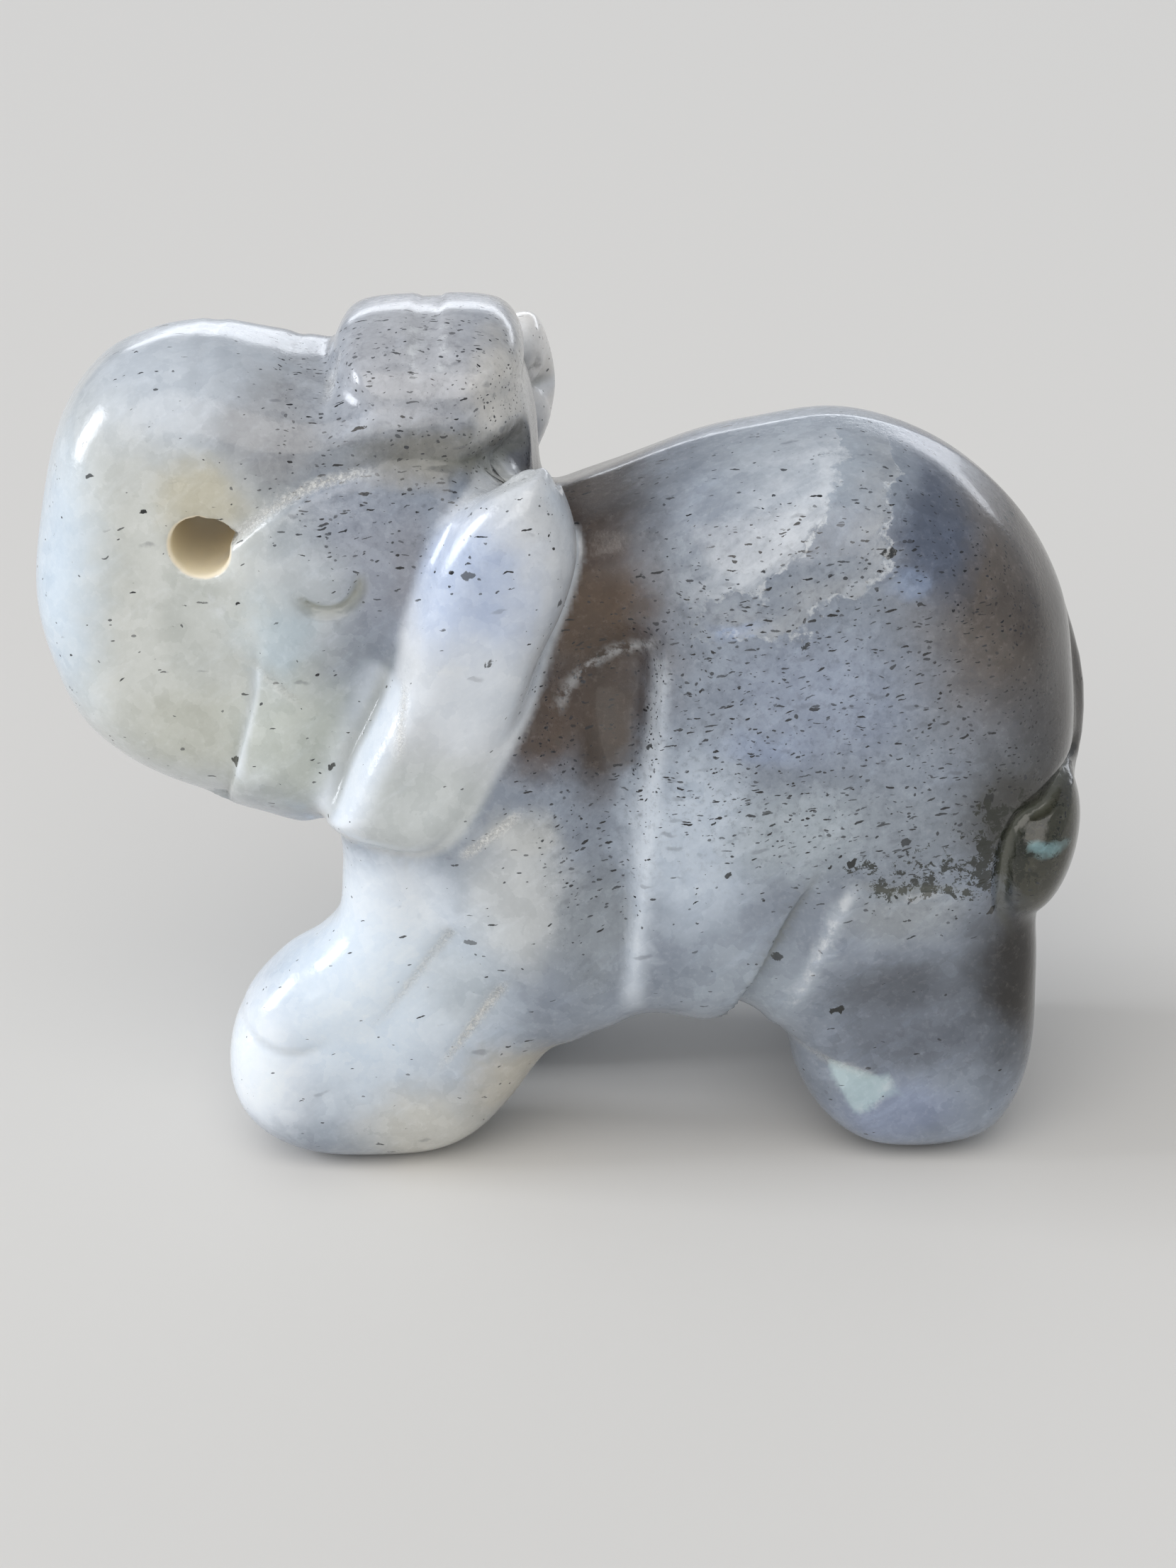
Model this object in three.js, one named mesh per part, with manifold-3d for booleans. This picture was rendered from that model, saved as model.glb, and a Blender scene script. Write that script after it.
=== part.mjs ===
// A palm-sized elephant carved from one block of polished stone, with its trunk curled back over its head.
// Millimetres, +Z up. The elephant faces -X, its left side faces -Y and its soles stand on Z = 0.
// The origin is on the ground, at the middle of the overall length and thickness.

import * as THREE from 'three';
import { mergeVertices } from 'three/addons/utils/BufferGeometryUtils.js';
import Module from 'manifold-3d';

// Driving dimensions of the carving.
const LENGTH = 40;                     // foremost curve of the trunk to the back of the tail
const HEIGHT = 33;                     // soles to the top of the curled trunk tip
const BODY_HALF = 8;                   // half the width of the barrel of the body
const CREST_LEAN = 0.2;                // slope to the right of the flat facet along the back
const HEAD_HALF = 6.3;                 // half the width of the head across the cheeks
const TRUNK_HALF = 5.2;                // half the width of the trunk
const TIP_HALF = 5.1;                  // half the width of the trunk tip
const EAR_HALF = 2.3;                  // half the thickness of an ear, inner side buried in the neck
const EAR_MIDDLE = 6;                  // from the middle plane to the middle of each ear
const RIGHT_EAR_SHIFT = [-1, 0, 1.8];  // the right ear sits further forward and higher
const FRONT_LEG_HALF = 2.9;            // half the thickness of a front leg
const HIND_LEG_HALF = 3;               // half the thickness of a hind leg
const LEG_MIDDLE = 4.1;                // from the middle plane to the middle of each leg
const RIGHT_FRONT_STEP = [3, 0, 0];    // the right front leg stands behind the left one
const TRUNK_HOLE = 2.3;                // diameter of the hole drilled through the trunk curl
const TRUNK_HOLE_AT = [-13.25, 25.6];
const BURR = 0.9;                      // diameter of the round burr that cuts the fine lines
const LINE_DEPTH = 0.4;                // how deep the burr goes

// Solids and booleans.
const wasm = await Module();
wasm.setup();

function toSolid(geometry) {
  const bare = geometry.clone();
  bare.deleteAttribute('normal');
  bare.deleteAttribute('uv');
  const merged = mergeVertices(bare, 1e-4);
  return new wasm.Manifold(new wasm.Mesh({
    numProp: 3,
    vertProperties: new Float32Array(merged.attributes.position.array),
    triVerts: new Uint32Array(merged.index.array),
  }));
}

function toGeometry(solid) {
  const mesh = solid.getMesh();
  const geometry = new THREE.BufferGeometry();
  geometry.setAttribute('position', new THREE.BufferAttribute(mesh.vertProperties, 3));
  geometry.setIndex(new THREE.BufferAttribute(mesh.triVerts, 1));
  geometry.computeVertexNormals();
  return geometry;
}

const union = (solids) => solids.reduce((whole, solid) => whole.add(solid));
const mirrored = (solid) => solid.mirror([0, 1, 0]);
const bothSides = (solid) => [solid, mirrored(solid)];

// A rounded mass: the outline in the XZ plane is widest at `middle` and shrinks about `centre` to `flat`
// times its size at a distance of `half` to either side. The larger `fullness` is, the squarer it gets.
// `lean` lowers a point by an amount that depends on its Y and Z.
function pillow(points, options) {
  const { centre, half, middle = 0, flat, fullness = 2.3, lean = () => 0, count = 44, layers = 8 } = options;
  const knots = points.map(([x, z]) => new THREE.Vector3(x, 0, z));
  const loop = new THREE.CatmullRomCurve3(knots, true).getSpacedPoints(count).slice(0, -1);
  const shape = new THREE.Shape(loop.map((p) => new THREE.Vector2(p.x, p.z)));
  const geometry = new THREE.ExtrudeGeometry(shape, { depth: 2, steps: layers, bevelEnabled: false });
  const position = geometry.attributes.position;
  for (let i = 0; i < position.count; i += 1) {
    const angle = (position.getZ(i) - 1) * Math.PI / 2;
    const size = flat + (1 - flat) * Math.max(Math.cos(angle), 0) ** (2 / fullness);
    const x = centre[0] + (position.getX(i) - centre[0]) * size;
    const y = middle - half * Math.sign(angle) * Math.abs(Math.sin(angle)) ** (2 / fullness);
    const z = centre[1] + (position.getY(i) - centre[1]) * size;
    position.setXYZ(i, x, y, z - lean(y, z));
  }
  return toSolid(geometry);
}

function ellipsoid(centre, radii, turn = 0) {
  const geometry = new THREE.SphereGeometry(1, 24, 16);
  geometry.scale(...radii);
  geometry.rotateY(turn);
  geometry.translate(...centre);
  return toSolid(geometry);
}

// A round cutter or strand swept along a smooth path through points in space.
function sweep(points, diameter) {
  const path = new THREE.CatmullRomCurve3(points.map((p) => new THREE.Vector3(...p)));
  const circle = new THREE.Shape().absarc(0, 0, diameter / 2, 0, 2 * Math.PI);
  const steps = Math.ceil(2 * path.getLength() / diameter);
  const options = { steps, curveSegments: 4, bevelEnabled: false, extrudePath: path };
  return toSolid(new THREE.ExtrudeGeometry(circle, options));
}

// A line cut by a round burr into a left-hand face that lies at -Y = `face`.
function burrLine(points, face) {
  const axis = face + BURR / 2 - LINE_DEPTH;
  return sweep(points.map(([x, z]) => [x, -axis, z]), BURR);
}

function block(x, y, z) {
  const size = [x[1] - x[0], y[1] - y[0], z[1] - z[0]];
  const geometry = new THREE.BoxGeometry(...size);
  geometry.translate((x[0] + x[1]) / 2, (y[0] + y[1]) / 2, (z[0] + z[1]) / 2);
  return toSolid(geometry);
}

// The barrel of the body, from the neck over the back to the rump, with the belly arched underneath.
function body() {
  const outline = [
    [-5, 24], [-1, 25.8], [3, 27.4], [7, 28.6], [10.5, 28.9], [14, 27.8], [16.7, 25.6], [18.6, 22.6],
    [19.3, 19.5], [19.5, 16.4], [19, 13], [17.6, 9.6], [14, 6.8], [9, 5.9], [6.6, 5.4], [5, 5.1],
    [3, 5.4], [1, 4.9], [-3, 5.6], [-6, 9.5], [-7, 14.5], [-6.6, 20],
  ];
  const lean = (y, z) => CREST_LEAN * Math.max(y + 1, 0) * THREE.MathUtils.smoothstep(z, 16, 24);
  const section = { half: BODY_HALF, flat: 0.58, fullness: 2.6, lean };
  return pillow(outline, { centre: [7.5, 17], ...section, count: 56, layers: 12 });
}

// The head, with the cheeks and the two short tusks as one proud face behind the trunk.
function head() {
  const outline = [
    [-12.6, 25.4], [-11.2, 27.2], [-8, 28.8], [-4.5, 29.4], [-2.2, 29], [-1, 27], [-0.8, 22], [-2, 17.5],
    [-5, 14.7], [-8.4, 14.2], [-11.2, 14.7], [-13.1, 15.8], [-12.9, 18.4], [-12.1, 21.6],
  ];
  return pillow(outline, { centre: [-6.8, 21.5], half: HEAD_HALF, flat: 0.62, fullness: 2.4 });
}

// The trunk: down from the face, forward and up, and back over the forehead.
function trunk() {
  const outline = [
    [-20, 21.7], [-19.7, 25.2], [-18.9, 28.6], [-17.3, 31], [-15.4, 32], [-13.2, 32.2], [-11, 31.8],
    [-8.6, 31.4], [-5, 31], [-2.4, 29.8], [-3, 27], [-5, 22], [-7, 16], [-9.6, 13.5], [-12, 13.9],
    [-14.6, 14.7], [-17.2, 16], [-19.1, 18.1],
  ];
  return pillow(outline, { centre: [-12, 23], half: TRUNK_HALF, flat: 0.65 });
}

// The flattened tip of the trunk, which lies on the crown of the head.
function trunkTip() {
  const outline = [
    [-8.6, 30.6], [-8.4, 32], [-7.5, 32.8], [-5, 33], [-3, 33], [-1.9, 32.6], [-1.35, 31.6],
    [-1.5, 30.2], [-1.9, 28.2], [-4.5, 26.8], [-8.5, 27.8],
  ];
  return pillow(outline, { centre: [-5, 29.5], half: TIP_HALF, flat: 0.5, count: 36 });
}

// One ear, a thick oval flap that tapers down and forward.
function ear() {
  const outline = [
    [-5.3, 24], [-4.8, 25.6], [-4, 27], [-2.8, 28.1], [-1.4, 29], [-0.5, 28.8], [0.2, 27.2],
    [0.4, 25.6], [0, 23.9], [-0.7, 21.9], [-1.6, 19.3], [-2.6, 16.9], [-3.8, 15], [-5.4, 14.1],
    [-7.2, 14.3], [-9.2, 15.2], [-8.5, 17.4], [-7.4, 19.6], [-6.1, 21.6],
  ];
  const section = { half: EAR_HALF, middle: -EAR_MIDDLE, flat: 0.62, fullness: 2.2 };
  return pillow(outline, { centre: [-3.9, 21.5], ...section, count: 40 });
}

// A front leg with its shoulder. The shin leans forward into a big round foot.
function frontLeg() {
  const outline = [
    [-8.6, 16], [-8.7, 12.5], [-8.9, 10.5], [-9.8, 9.3], [-11.4, 8.3], [-12.9, 6.4], [-13.5, 4],
    [-13.2, 2.2], [-12.1, 0.7], [-10.3, -0.4], [-8, -0.7], [-5.6, -0.4], [-4, 0.6], [-2.4, 2.5],
    [-0.9, 4.4], [0.6, 5.3], [2.4, 8], [3, 13], [3, 18], [2, 22], [-1, 23.5], [-6, 22],
  ];
  const section = { half: FRONT_LEG_HALF, middle: -LEG_MIDDLE, flat: 0.7 };
  return pillow(outline, { centre: [-5, 9.5], ...section, count: 48 });
}

// A hind leg with its haunch.
function hindLeg() {
  const outline = [
    [9.6, 13.6], [8, 10.9], [6.8, 8.8], [6.2, 7.2], [7.2, 6], [8.3, 5], [8.7, 3.6], [9.4, 2.1],
    [10.6, 0.6], [12.2, -0.4], [14.6, -0.5], [16.4, 0.5], [17.4, 2.2], [18, 4.4], [18.1, 7.2],
    [17.8, 10], [17, 13], [15, 14.5], [12, 14.5],
  ];
  const section = { half: HIND_LEG_HALF, middle: -LEG_MIDDLE, flat: 0.66 };
  return pillow(outline, { centre: [13, 7], ...section });
}

// The tail hugs the rump and ends in a rounded tuft that is swept to the left.
function tail() {
  const strand = [
    [15.4, 0, 24.6], [17.7, -0.1, 22.2], [18.9, -0.6, 18.8], [18.8, -1.8, 16.4], [18, -3.4, 14.6],
  ];
  const tuft = ellipsoid([17.35, -4.5, 13.4], [1.95, 3.5, 3.3], 0.24);
  return union([sweep(strand, 2.2), tuft]);
}

// The hole drilled straight through the curl of the trunk.
function trunkHole() {
  const drill = new THREE.CylinderGeometry(TRUNK_HOLE / 2, TRUNK_HOLE / 2, 4 * TRUNK_HALF, 32);
  drill.translate(TRUNK_HOLE_AT[0], 0, TRUNK_HOLE_AT[1]);
  return toSolid(drill);
}

// The line between the curled trunk and the forehead, from the hole up and back.
function browLine() {
  return burrLine([[-12.3, 25.9], [-11, 26.9], [-9.9, 27.6], [-8.8, 28.15], [-7.5, 28.5]], 5.4);
}

// The hollow under the trunk tip, which opens towards the neck.
function crownHollow() {
  return sweep([[-8.5, -6.1, 28.9], [-6.2, -5.9, 28.9], [-4, -5.7, 28.9], [0, -5.2, 28.6]], 1.9);
}

// The neck is ground back behind the ear, so that the ear stands free of the shoulder.
function neckHollow() {
  return ellipsoid([0.4, -10, 23.6], [4.6, 4.4, 6.5]);
}

// The valley between the cheek and the ear.
function cheekValley() {
  return sweep([[-6.5, -7.7, 22], [-7.3, -7.3, 20], [-8.4, -7, 17.4], [-9.8, -6.6, 13]], 2);
}

// A crescent cut that marks the lower lid of the eye.
function eyeCut() {
  const points = [];
  for (let i = 0; i <= 8; i += 1) {
    const angle = Math.PI * (1.15 + 0.8 * i / 8);
    points.push([-8.65 + 1.25 * Math.cos(angle), 24.75 + 1.25 * Math.sin(angle)]);
  }
  return burrLine(points, HEAD_HALF - 0.2);
}

// Two shallow lines across the top of the trunk tip.
function tipLines() {
  const top = HEIGHT + BURR / 2 - LINE_DEPTH / 2;
  return [-5.4, -4.3].map((x) => sweep([[x, -5, top], [x, 0, top], [x, 5, top]], BURR));
}

// The hollow behind the shoulder. It is deepest under the neck and runs out above the belly.
function shoulderHollow() {
  const path = [[0.4, -9, 24], [2.2, -9.3, 20], [2.9, -9.7, 15.5], [2.9, -10.2, 10], [2.9, -10.8, 6]];
  return sweep(path, 4.4);
}

// The groove between the belly and the haunch. It starts on the flank and gets deeper downwards.
function haunchLine() {
  const path = [[10, -9.3, 15.4], [9, -9, 13], [8.2, -8.7, 11.5], [7.2, -8.2, 9.1], [5.4, -7, 5]];
  return sweep(path, 2.4);
}

function carving() {
  const leftFront = frontLeg();
  const blank = union([
    body(), head(), trunk(), trunkTip(),
    leftFront, mirrored(leftFront).translate(RIGHT_FRONT_STEP), ...bothSides(hindLeg()),
  ]);
  const behindEars = union([neckHollow(), crownHollow(), shoulderHollow()].flatMap(bothSides));
  const leftEar = ear();
  const masses = blank.subtract(behindEars)
    .add(union([leftEar, mirrored(leftEar).translate(RIGHT_EAR_SHIFT), tail()]));
  const cuts = union([
    trunkHole(), ...tipLines(),
    ...[browLine(), cheekValley(), eyeCut(), haunchLine()].flatMap(bothSides),
    block([-LENGTH, LENGTH], [-LENGTH, LENGTH], [-HEIGHT, 0]),
  ]);
  return masses.subtract(cuts);
}

const stone = new THREE.MeshStandardMaterial({ color: '#a9aeb2', roughness: 0.25, metalness: 0 });
const elephant = new THREE.Mesh(toGeometry(carving()), stone);
elephant.name = 'stone_elephant';

const group = new THREE.Group();
group.add(elephant);

export default group;
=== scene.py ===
import math

import bpy
import numpy as np
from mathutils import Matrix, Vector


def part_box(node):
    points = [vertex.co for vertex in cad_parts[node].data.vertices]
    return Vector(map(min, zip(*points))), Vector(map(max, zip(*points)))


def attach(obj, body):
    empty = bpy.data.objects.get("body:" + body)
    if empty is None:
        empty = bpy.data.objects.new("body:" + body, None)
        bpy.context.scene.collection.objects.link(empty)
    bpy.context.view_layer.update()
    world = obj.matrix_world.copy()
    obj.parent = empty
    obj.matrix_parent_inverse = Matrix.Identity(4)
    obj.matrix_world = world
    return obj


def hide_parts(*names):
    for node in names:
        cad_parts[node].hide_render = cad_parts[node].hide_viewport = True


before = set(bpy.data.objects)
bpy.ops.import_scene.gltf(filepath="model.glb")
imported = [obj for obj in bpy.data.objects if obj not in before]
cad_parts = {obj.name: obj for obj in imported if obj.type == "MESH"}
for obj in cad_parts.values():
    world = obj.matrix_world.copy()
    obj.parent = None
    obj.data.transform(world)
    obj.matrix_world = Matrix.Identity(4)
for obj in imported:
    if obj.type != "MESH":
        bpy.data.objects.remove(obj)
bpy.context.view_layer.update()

import openvdb
from mathutils import Matrix, Vector

# ---------------------------------------------------------------------------------------------
# The table and the light. The carving stands on a plain pale board with a broad window in front of
# its trunk. A big soft lamp over the camera stands in for the bright room, and a long low one behind
# the carving for the far windows, which draw a bright line along the back.
# ---------------------------------------------------------------------------------------------
low, high = (Vector(corner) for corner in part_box("stone_elephant"))
LENGTH = high.x - low.x
MM = LENGTH / 40                      # one millimetre of the 40 mm carving, in scene units


def srgb(text):
    """An sRGB hex colour as linear RGBA."""
    channels = [int(text[i:i + 2], 16) / 255 for i in (1, 3, 5)]
    return [c / 12.92 if c <= 0.04045 else ((c + 0.055) / 1.055) ** 2.4 for c in channels] + [1.0]


def node(tree, kind, values):
    """Adds a node and gives its outputs. `values` holds its settings and, by name or number, its inputs:
    a socket is linked and anything else is the input's own value."""
    made = tree.nodes.new("ShaderNode" + kind)
    for key, value in values.items():
        if isinstance(value, bpy.types.NodeSocket):
            tree.links.new(value, made.inputs[key])
        elif isinstance(key, str) and hasattr(made, key):
            setattr(made, key, value)
        else:
            made.inputs[key].default_value = value
    return made.outputs


def new_material(name):
    material = bpy.data.materials.new(name)
    material.use_nodes = True
    material.node_tree.nodes.clear()
    return material, material.node_tree


# plain painted board, matt, so that it shows a soft shadow and no reflection
board_material, tree = new_material("pale_matt_paint")
board_shader = node(tree, "BsdfPrincipled", {"Base Color": srgb("#e2e0dc"), "Roughness": 0.75})
node(tree, "OutputMaterial", {"Surface": board_shader["BSDF"]})

BOARD_HALF = 60 * LENGTH
board_corners = [(x * BOARD_HALF, y * BOARD_HALF, 0) for x, y in ((-1, -1), (1, -1), (1, 1), (-1, 1))]
board_mesh = bpy.data.meshes.new("board")
board_mesh.from_pydata(board_corners, [], [(0, 1, 2, 3)])
board_mesh.materials.append(board_material)
board = bpy.data.objects.new("board", board_mesh)
bpy.context.scene.collection.objects.link(board)


LAMPS_AWAY = 120 * LENGTH             # so far off that the board is lit evenly
middle = Vector((0, 0, high.z / 2))


def soft_box(name, bearing, height, width, tall, watts, colour):
    """A lamp turned to the carving. Bearing and height are degrees, a bearing of 180 lies in front of the
    trunk, and the sides are in carving lengths."""
    light = bpy.data.lights.new(name, "AREA")
    light.shape = "RECTANGLE"
    light.size, light.size_y = width * LENGTH, tall * LENGTH
    light.energy = watts
    light.color = srgb(colour)[:3]
    turn, rise = math.radians(bearing), math.radians(height)
    flat = math.cos(rise)
    lamp = bpy.data.objects.new(name, light)
    lamp.location = LAMPS_AWAY * Vector((flat * math.cos(turn), flat * math.sin(turn), math.sin(rise)))
    lamp.rotation_euler = (middle - lamp.location).to_track_quat("-Z", "Y").to_euler()
    bpy.context.scene.collection.objects.link(lamp)


soft_box("window_light", 178, 21, 40, 60, 112, "#f4f8ff")
soft_box("room_light", -105, 48, 136, 136, 152, "#fffaf4")
soft_box("far_windows", 80, 11, 128, 16, 27, "#f4f8ff")

world = bpy.data.worlds.new("room")
world.use_nodes = True
room = world.node_tree.nodes["Background"].inputs
room["Color"].default_value = srgb("#e6ebf2")
room["Strength"].default_value = 0.45
bpy.context.scene.world = world
bpy.context.scene.view_settings.view_transform = "Standard"

# ---------------------------------------------------------------------------------------------
# The camera. It looks along +Y and down at the carving's left side, from about three lengths away,
# as a person does who sits at the table.
# ---------------------------------------------------------------------------------------------
LOOK_DOWN = math.radians(24.5)
TILT = math.radians(0.9)              # the camera is held slightly turned
SENSOR = 36                           # longer side of the sensor, in millimetres
FOCAL = 1.989 * SENSOR
AIM = Vector((0.72 * MM, low.y + 1.3 * MM, 16.75 * MM))
AWAY = 115.2 * MM

forward = Vector((0, math.cos(LOOK_DOWN), -math.sin(LOOK_DOWN)))
level = Vector((1, 0, 0))
upright = level.cross(forward)
right = level * math.cos(TILT) - upright * math.sin(TILT)
up = level * math.sin(TILT) + upright * math.cos(TILT)
lens = bpy.data.cameras.new("camera")
lens.sensor_width = SENSOR
lens.lens = FOCAL
lens.clip_start = AWAY / 20
lens.clip_end = 200 * AWAY
camera = bpy.data.objects.new("camera", lens)
facing = Matrix((right, up, -forward)).transposed().to_4x4()
camera.matrix_world = Matrix.Translation(AIM - AWAY * forward) @ facing
bpy.context.scene.collection.objects.link(camera)
bpy.context.scene.camera = camera

# ---------------------------------------------------------------------------------------------
# The blank and its outlines. A carver saws the slab to an outline, then rounds each mass with a
# wheel. Outlines are in millimetres of length and height (x, z), seen from the left side.
# ---------------------------------------------------------------------------------------------


def smooth(points, closed, steps=10):
    """A smooth path through a few given points."""
    p = np.array(points, float)
    if closed:
        a, b, c, d = (np.roll(p, k, 0)[:, None] for k in (1, 0, -1, -2))
    else:
        ends = np.vstack([2 * p[0] - p[1], p, 2 * p[-1] - p[-2]])
        a, b, c, d = ends[:-3, None], ends[1:-2, None], ends[2:-1, None], ends[3:, None]
    t = np.linspace(0, 1, steps, endpoint=False)[None, :, None]
    path = 0.5 * (2 * b + (c - a) * t + (2 * a - 5 * b + 4 * c - d) * t ** 2
                  + (3 * b - a - 3 * c + d) * t ** 3)
    path = path.reshape(-1, p.shape[1])
    return path if closed else np.vstack([path, p[-1]])


def to_outline(x, z, points):
    """Signed distance in the XZ plane to a closed outline, negative inside."""
    path = smooth(points, closed=True)
    nearest = np.full(np.broadcast(x, z).shape, 1e9, np.float32)
    inside = np.zeros(nearest.shape, bool)
    for (ax, az), (bx, bz) in zip(path, np.roll(path, -1, 0)):
        ux, uz = bx - ax, bz - az
        t = np.clip(((x - ax) * ux + (z - az) * uz) / (ux * ux + uz * uz), 0, 1)
        nearest = np.minimum(nearest, (x - ax - t * ux) ** 2 + (z - az - t * uz) ** 2)
        if az != bz:
            inside ^= ((az > z) != (bz > z)) & (x < ux * (z - az) / uz + ax)
    return np.where(inside, -np.sqrt(nearest), np.sqrt(nearest)).astype(np.float32)


def to_stroke(x, z, points):
    """Distance in the XZ plane to an open stroke, positive on its left, and how far along it that is."""
    path = smooth(points, closed=False, steps=6)
    nearest = np.full(np.broadcast(x, z).shape, 1e9, np.float32)
    along = np.zeros_like(nearest)
    left = np.zeros(nearest.shape, bool)
    for i, ((ax, az), (bx, bz)) in enumerate(zip(path[:-1], path[1:])):
        ux, uz = bx - ax, bz - az
        t = np.clip(((x - ax) * ux + (z - az) * uz) / (ux * ux + uz * uz), 0, 1)
        d = (x - ax - t * ux) ** 2 + (z - az - t * uz) ** 2
        closer = d < nearest
        nearest = np.where(closer, d, nearest)
        along = np.where(closer, (i + t) / (len(path) - 1), along)
        left = np.where(closer, ux * (z - az) > uz * (x - ax), left)
    return np.where(left, 1, -1) * np.sqrt(nearest), along


def pillow(rim_distance, across, half, rim, fullness=2.3):
    """A mass `half` thick to each side of its middle, rounded over `rim` inside its outline."""
    u = np.maximum(1 + rim_distance / rim, 0)
    v = np.abs(across) / half
    swell = (u ** fullness + v ** fullness) ** (1 / fullness)
    steep = np.sqrt((u / rim) ** 2 + (v / half) ** 2) / np.maximum(np.sqrt(u * u + v * v), 1e-4)
    return ((swell - 1) / np.maximum(steep, 1 / np.maximum(rim, half))).astype(np.float32)


def join(a, b, blend):
    """Both masses, with the crease between them filled over `blend`."""
    h = np.clip(0.5 + 0.5 * (b - a) / blend, 0, 1)
    return b + (a - b) * h - blend * h * (1 - h)


def ramp(t):
    """0 below t = 0, 1 above t = 1, smooth between."""
    t = np.clip(t, 0, 1)
    return t * t * (3 - 2 * t)


def hollow(t):
    """1 at t = 0, smoothly 0 at |t| = 1: the section left by a round wheel."""
    return (1 - np.clip(np.abs(t), 0, 1) ** 2) ** 2


def notch(t, power=1):
    """1 at t = 0, 0 at |t| = 1: a flat side for power 1, one that fades out for power 2."""
    return np.clip(1 - np.abs(t), 0, 1) ** power


body_outline = [
    (-5, 24), (-1, 25.8), (3, 27.4), (7, 28.6), (10.5, 28.9), (14, 27.8), (16.7, 25.6), (18.6, 22.6),
    (19.2, 19.5), (19.4, 16.4), (19.0, 13), (17.6, 9.6), (14, 6.8), (9, 5.9), (6.6, 5.4), (5, 5.1),
    (3, 5.4), (1, 4.9), (-3, 5.6), (-6, 9.5), (-7, 14.5), (-6.6, 20)]
head_outline = [
    (-12.6, 25.4), (-11.2, 27.2), (-8, 28.8), (-4.5, 29.4), (-2.2, 29), (-1.0, 27), (-0.8, 22), (-2, 17.5),
    (-5, 14.7), (-8.4, 14.2), (-11.2, 14.7), (-13.1, 15.8), (-12.9, 18.4), (-12.1, 21.6)]
trunk_outline = [
    (-20, 21.7), (-19.7, 25.2), (-18.9, 28.6), (-17.3, 31), (-15.4, 32), (-13.2, 32.2), (-11, 31.8),
    (-8.6, 31.4), (-5, 31), (-2, 29.8), (-2.5, 27), (-5, 22), (-7, 16), (-9.6, 13.5), (-12, 13.9),
    (-14.6, 14.7), (-17.2, 16), (-19.1, 18.1)]
tip_outline = [
    (-8.6, 30.6), (-8.4, 32), (-7.5, 32.8), (-5, 33), (-3, 33), (-1.9, 32.6), (-1.35, 31.6),
    (-1.5, 30.2), (-1.9, 28.2), (-4.5, 26.4), (-8.7, 27.6)]
ear_outline = [
    (-5.3, 24), (-4.8, 25.6), (-4, 27), (-2.8, 28.1), (-1.4, 29), (-0.5, 28.8), (0.2, 27.2), (0.4, 25.6),
    (0, 23.9), (-0.7, 21.9), (-1.6, 19.3), (-2.6, 16.9), (-3.8, 15), (-5.4, 14.1), (-7.2, 14.3),
    (-9.2, 15.2), (-8.5, 17.4), (-7.4, 19.6), (-6.1, 21.6)]
front_leg_outline = [
    (-8.6, 16), (-8.7, 12.5), (-8.9, 10.5), (-9.8, 9.3), (-11.4, 8.3), (-12.9, 6.4), (-13.5, 4),
    (-13.2, 2.2), (-12.1, 0.9), (-10.3, 0.1), (-8, -0.1), (-5.6, 0.05), (-4, 0.8), (-2.4, 2.5), (-0.9, 4.4),
    (0.6, 5.3), (2.4, 8), (3, 13), (3.3, 18), (2.5, 22.5), (-1, 24.5), (-6, 23)]
hind_leg_outline = [
    (9.6, 13.6), (8, 10.9), (6.8, 8.8), (6.2, 7.2), (7.2, 6), (8.3, 5), (8.7, 3.6), (9.4, 2.1),
    (10.6, 0.8), (12.2, 0.1), (14.6, 0.05), (16.4, 0.7), (17.4, 2.2), (18, 4.4), (18.1, 7.2), (17.8, 10),
    (17, 13), (15, 14.5), (12, 14.5)]

# half thicknesses, and the middle of each leg, as the frame has them
BODY_HALF, HEAD_HALF, TIP_HALF, EAR_HALF = 8.0, 6.3, 5.1, 2.3
FRONT_LEG_HALF, HIND_LEG_HALF, LEG_MIDDLE = 2.9, 3.0, 4.1
RIGHT_FRONT_STEP = 3.0                # the right front foot stands this much further back
HOLE_AT, HOLE_RADIUS = (-13.25, 25.6), 1.15


def to_strand(x, y, z, points, radius):
    """Signed distance to a round strand through a few points in space."""
    path = smooth(points, closed=False, steps=3)
    nearest = np.full(np.broadcast(x, y, z).shape, 1e9, np.float32)
    for a, b in zip(path[:-1], path[1:]):
        u = b - a
        t = np.clip(((x - a[0]) * u[0] + (y - a[1]) * u[1] + (z - a[2]) * u[2]) / (u @ u), 0, 1)
        away = (x - a[0] - t * u[0]) ** 2 + (y - a[1] - t * u[1]) ** 2 + (z - a[2] - t * u[2]) ** 2
        nearest = np.minimum(nearest, away)
    return np.sqrt(nearest) - radius


tail_strand = [(15.6, 0, 24.4), (17.6, -0.1, 22), (18.7, -0.6, 18.8), (18.7, -1.8, 16.4),
               (18, -3.4, 14.6)]
TAIL_RADIUS = 1.0
TUFT_AT = (17.35, -4.5, 13.4)
TUFT_RADII = (1.95, 3.5, 3.3)
TUFT_LEAN = math.radians(14)


def to_ellipsoid(offsets, radii, scale):
    """Rough signed distance to an ellipsoid; `scale` is the length that one radius counts as."""
    return (np.sqrt(sum((offset / radius) ** 2 for offset, radius in zip(offsets, radii))) - 1) * scale


def tail(x, y, z):
    """A strand down the rump that ends in a rounded tuft, swept to the left."""
    back, rise = x - TUFT_AT[0], z - TUFT_AT[2]
    along = back * math.sin(TUFT_LEAN) + rise * math.cos(TUFT_LEAN)
    out = back * math.cos(TUFT_LEAN) - rise * math.sin(TUFT_LEAN)
    tuft = to_ellipsoid((out, y - TUFT_AT[1], along), TUFT_RADII, 2.4)
    return join(to_strand(x, y, z, tail_strand, TAIL_RADIUS), tuft, 0.5)


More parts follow.
